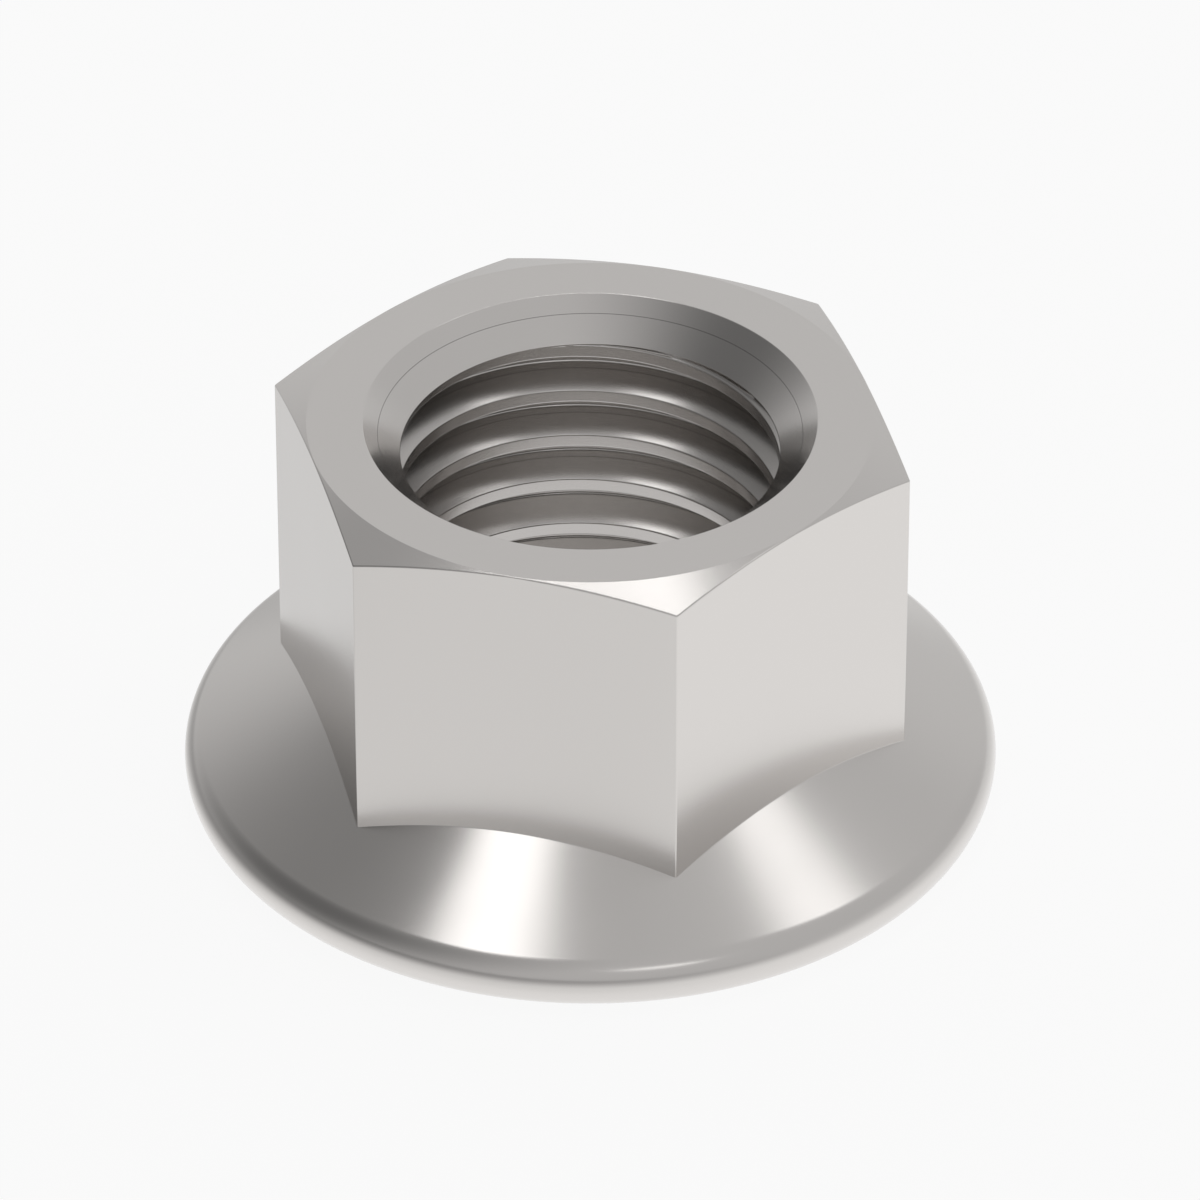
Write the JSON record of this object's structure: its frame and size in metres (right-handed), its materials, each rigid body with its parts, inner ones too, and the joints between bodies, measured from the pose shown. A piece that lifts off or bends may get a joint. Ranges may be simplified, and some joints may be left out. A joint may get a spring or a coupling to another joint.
{
  "type": "flange lock nut",
  "caption": "Hexagon lock nut with a built-in conical flange, a rounded flange rim, a chamfered top and a threaded bore that is countersunk at both ends.",
  "frame": {"origin": "centre of the bore on the bearing face, where the flange meets the clamped part", "axes": "+Z along the bore axis, from the bearing face to the chamfered top; +X through a corner of the hexagon"},
  "size_m": [0.0188, 0.0188, 0.0099],
  "materials": {
    "steel": "satin, bare bright steel"
  },
  "bodies": {
    "root": {"nut": "steel"}
  },
  "joints": []
}
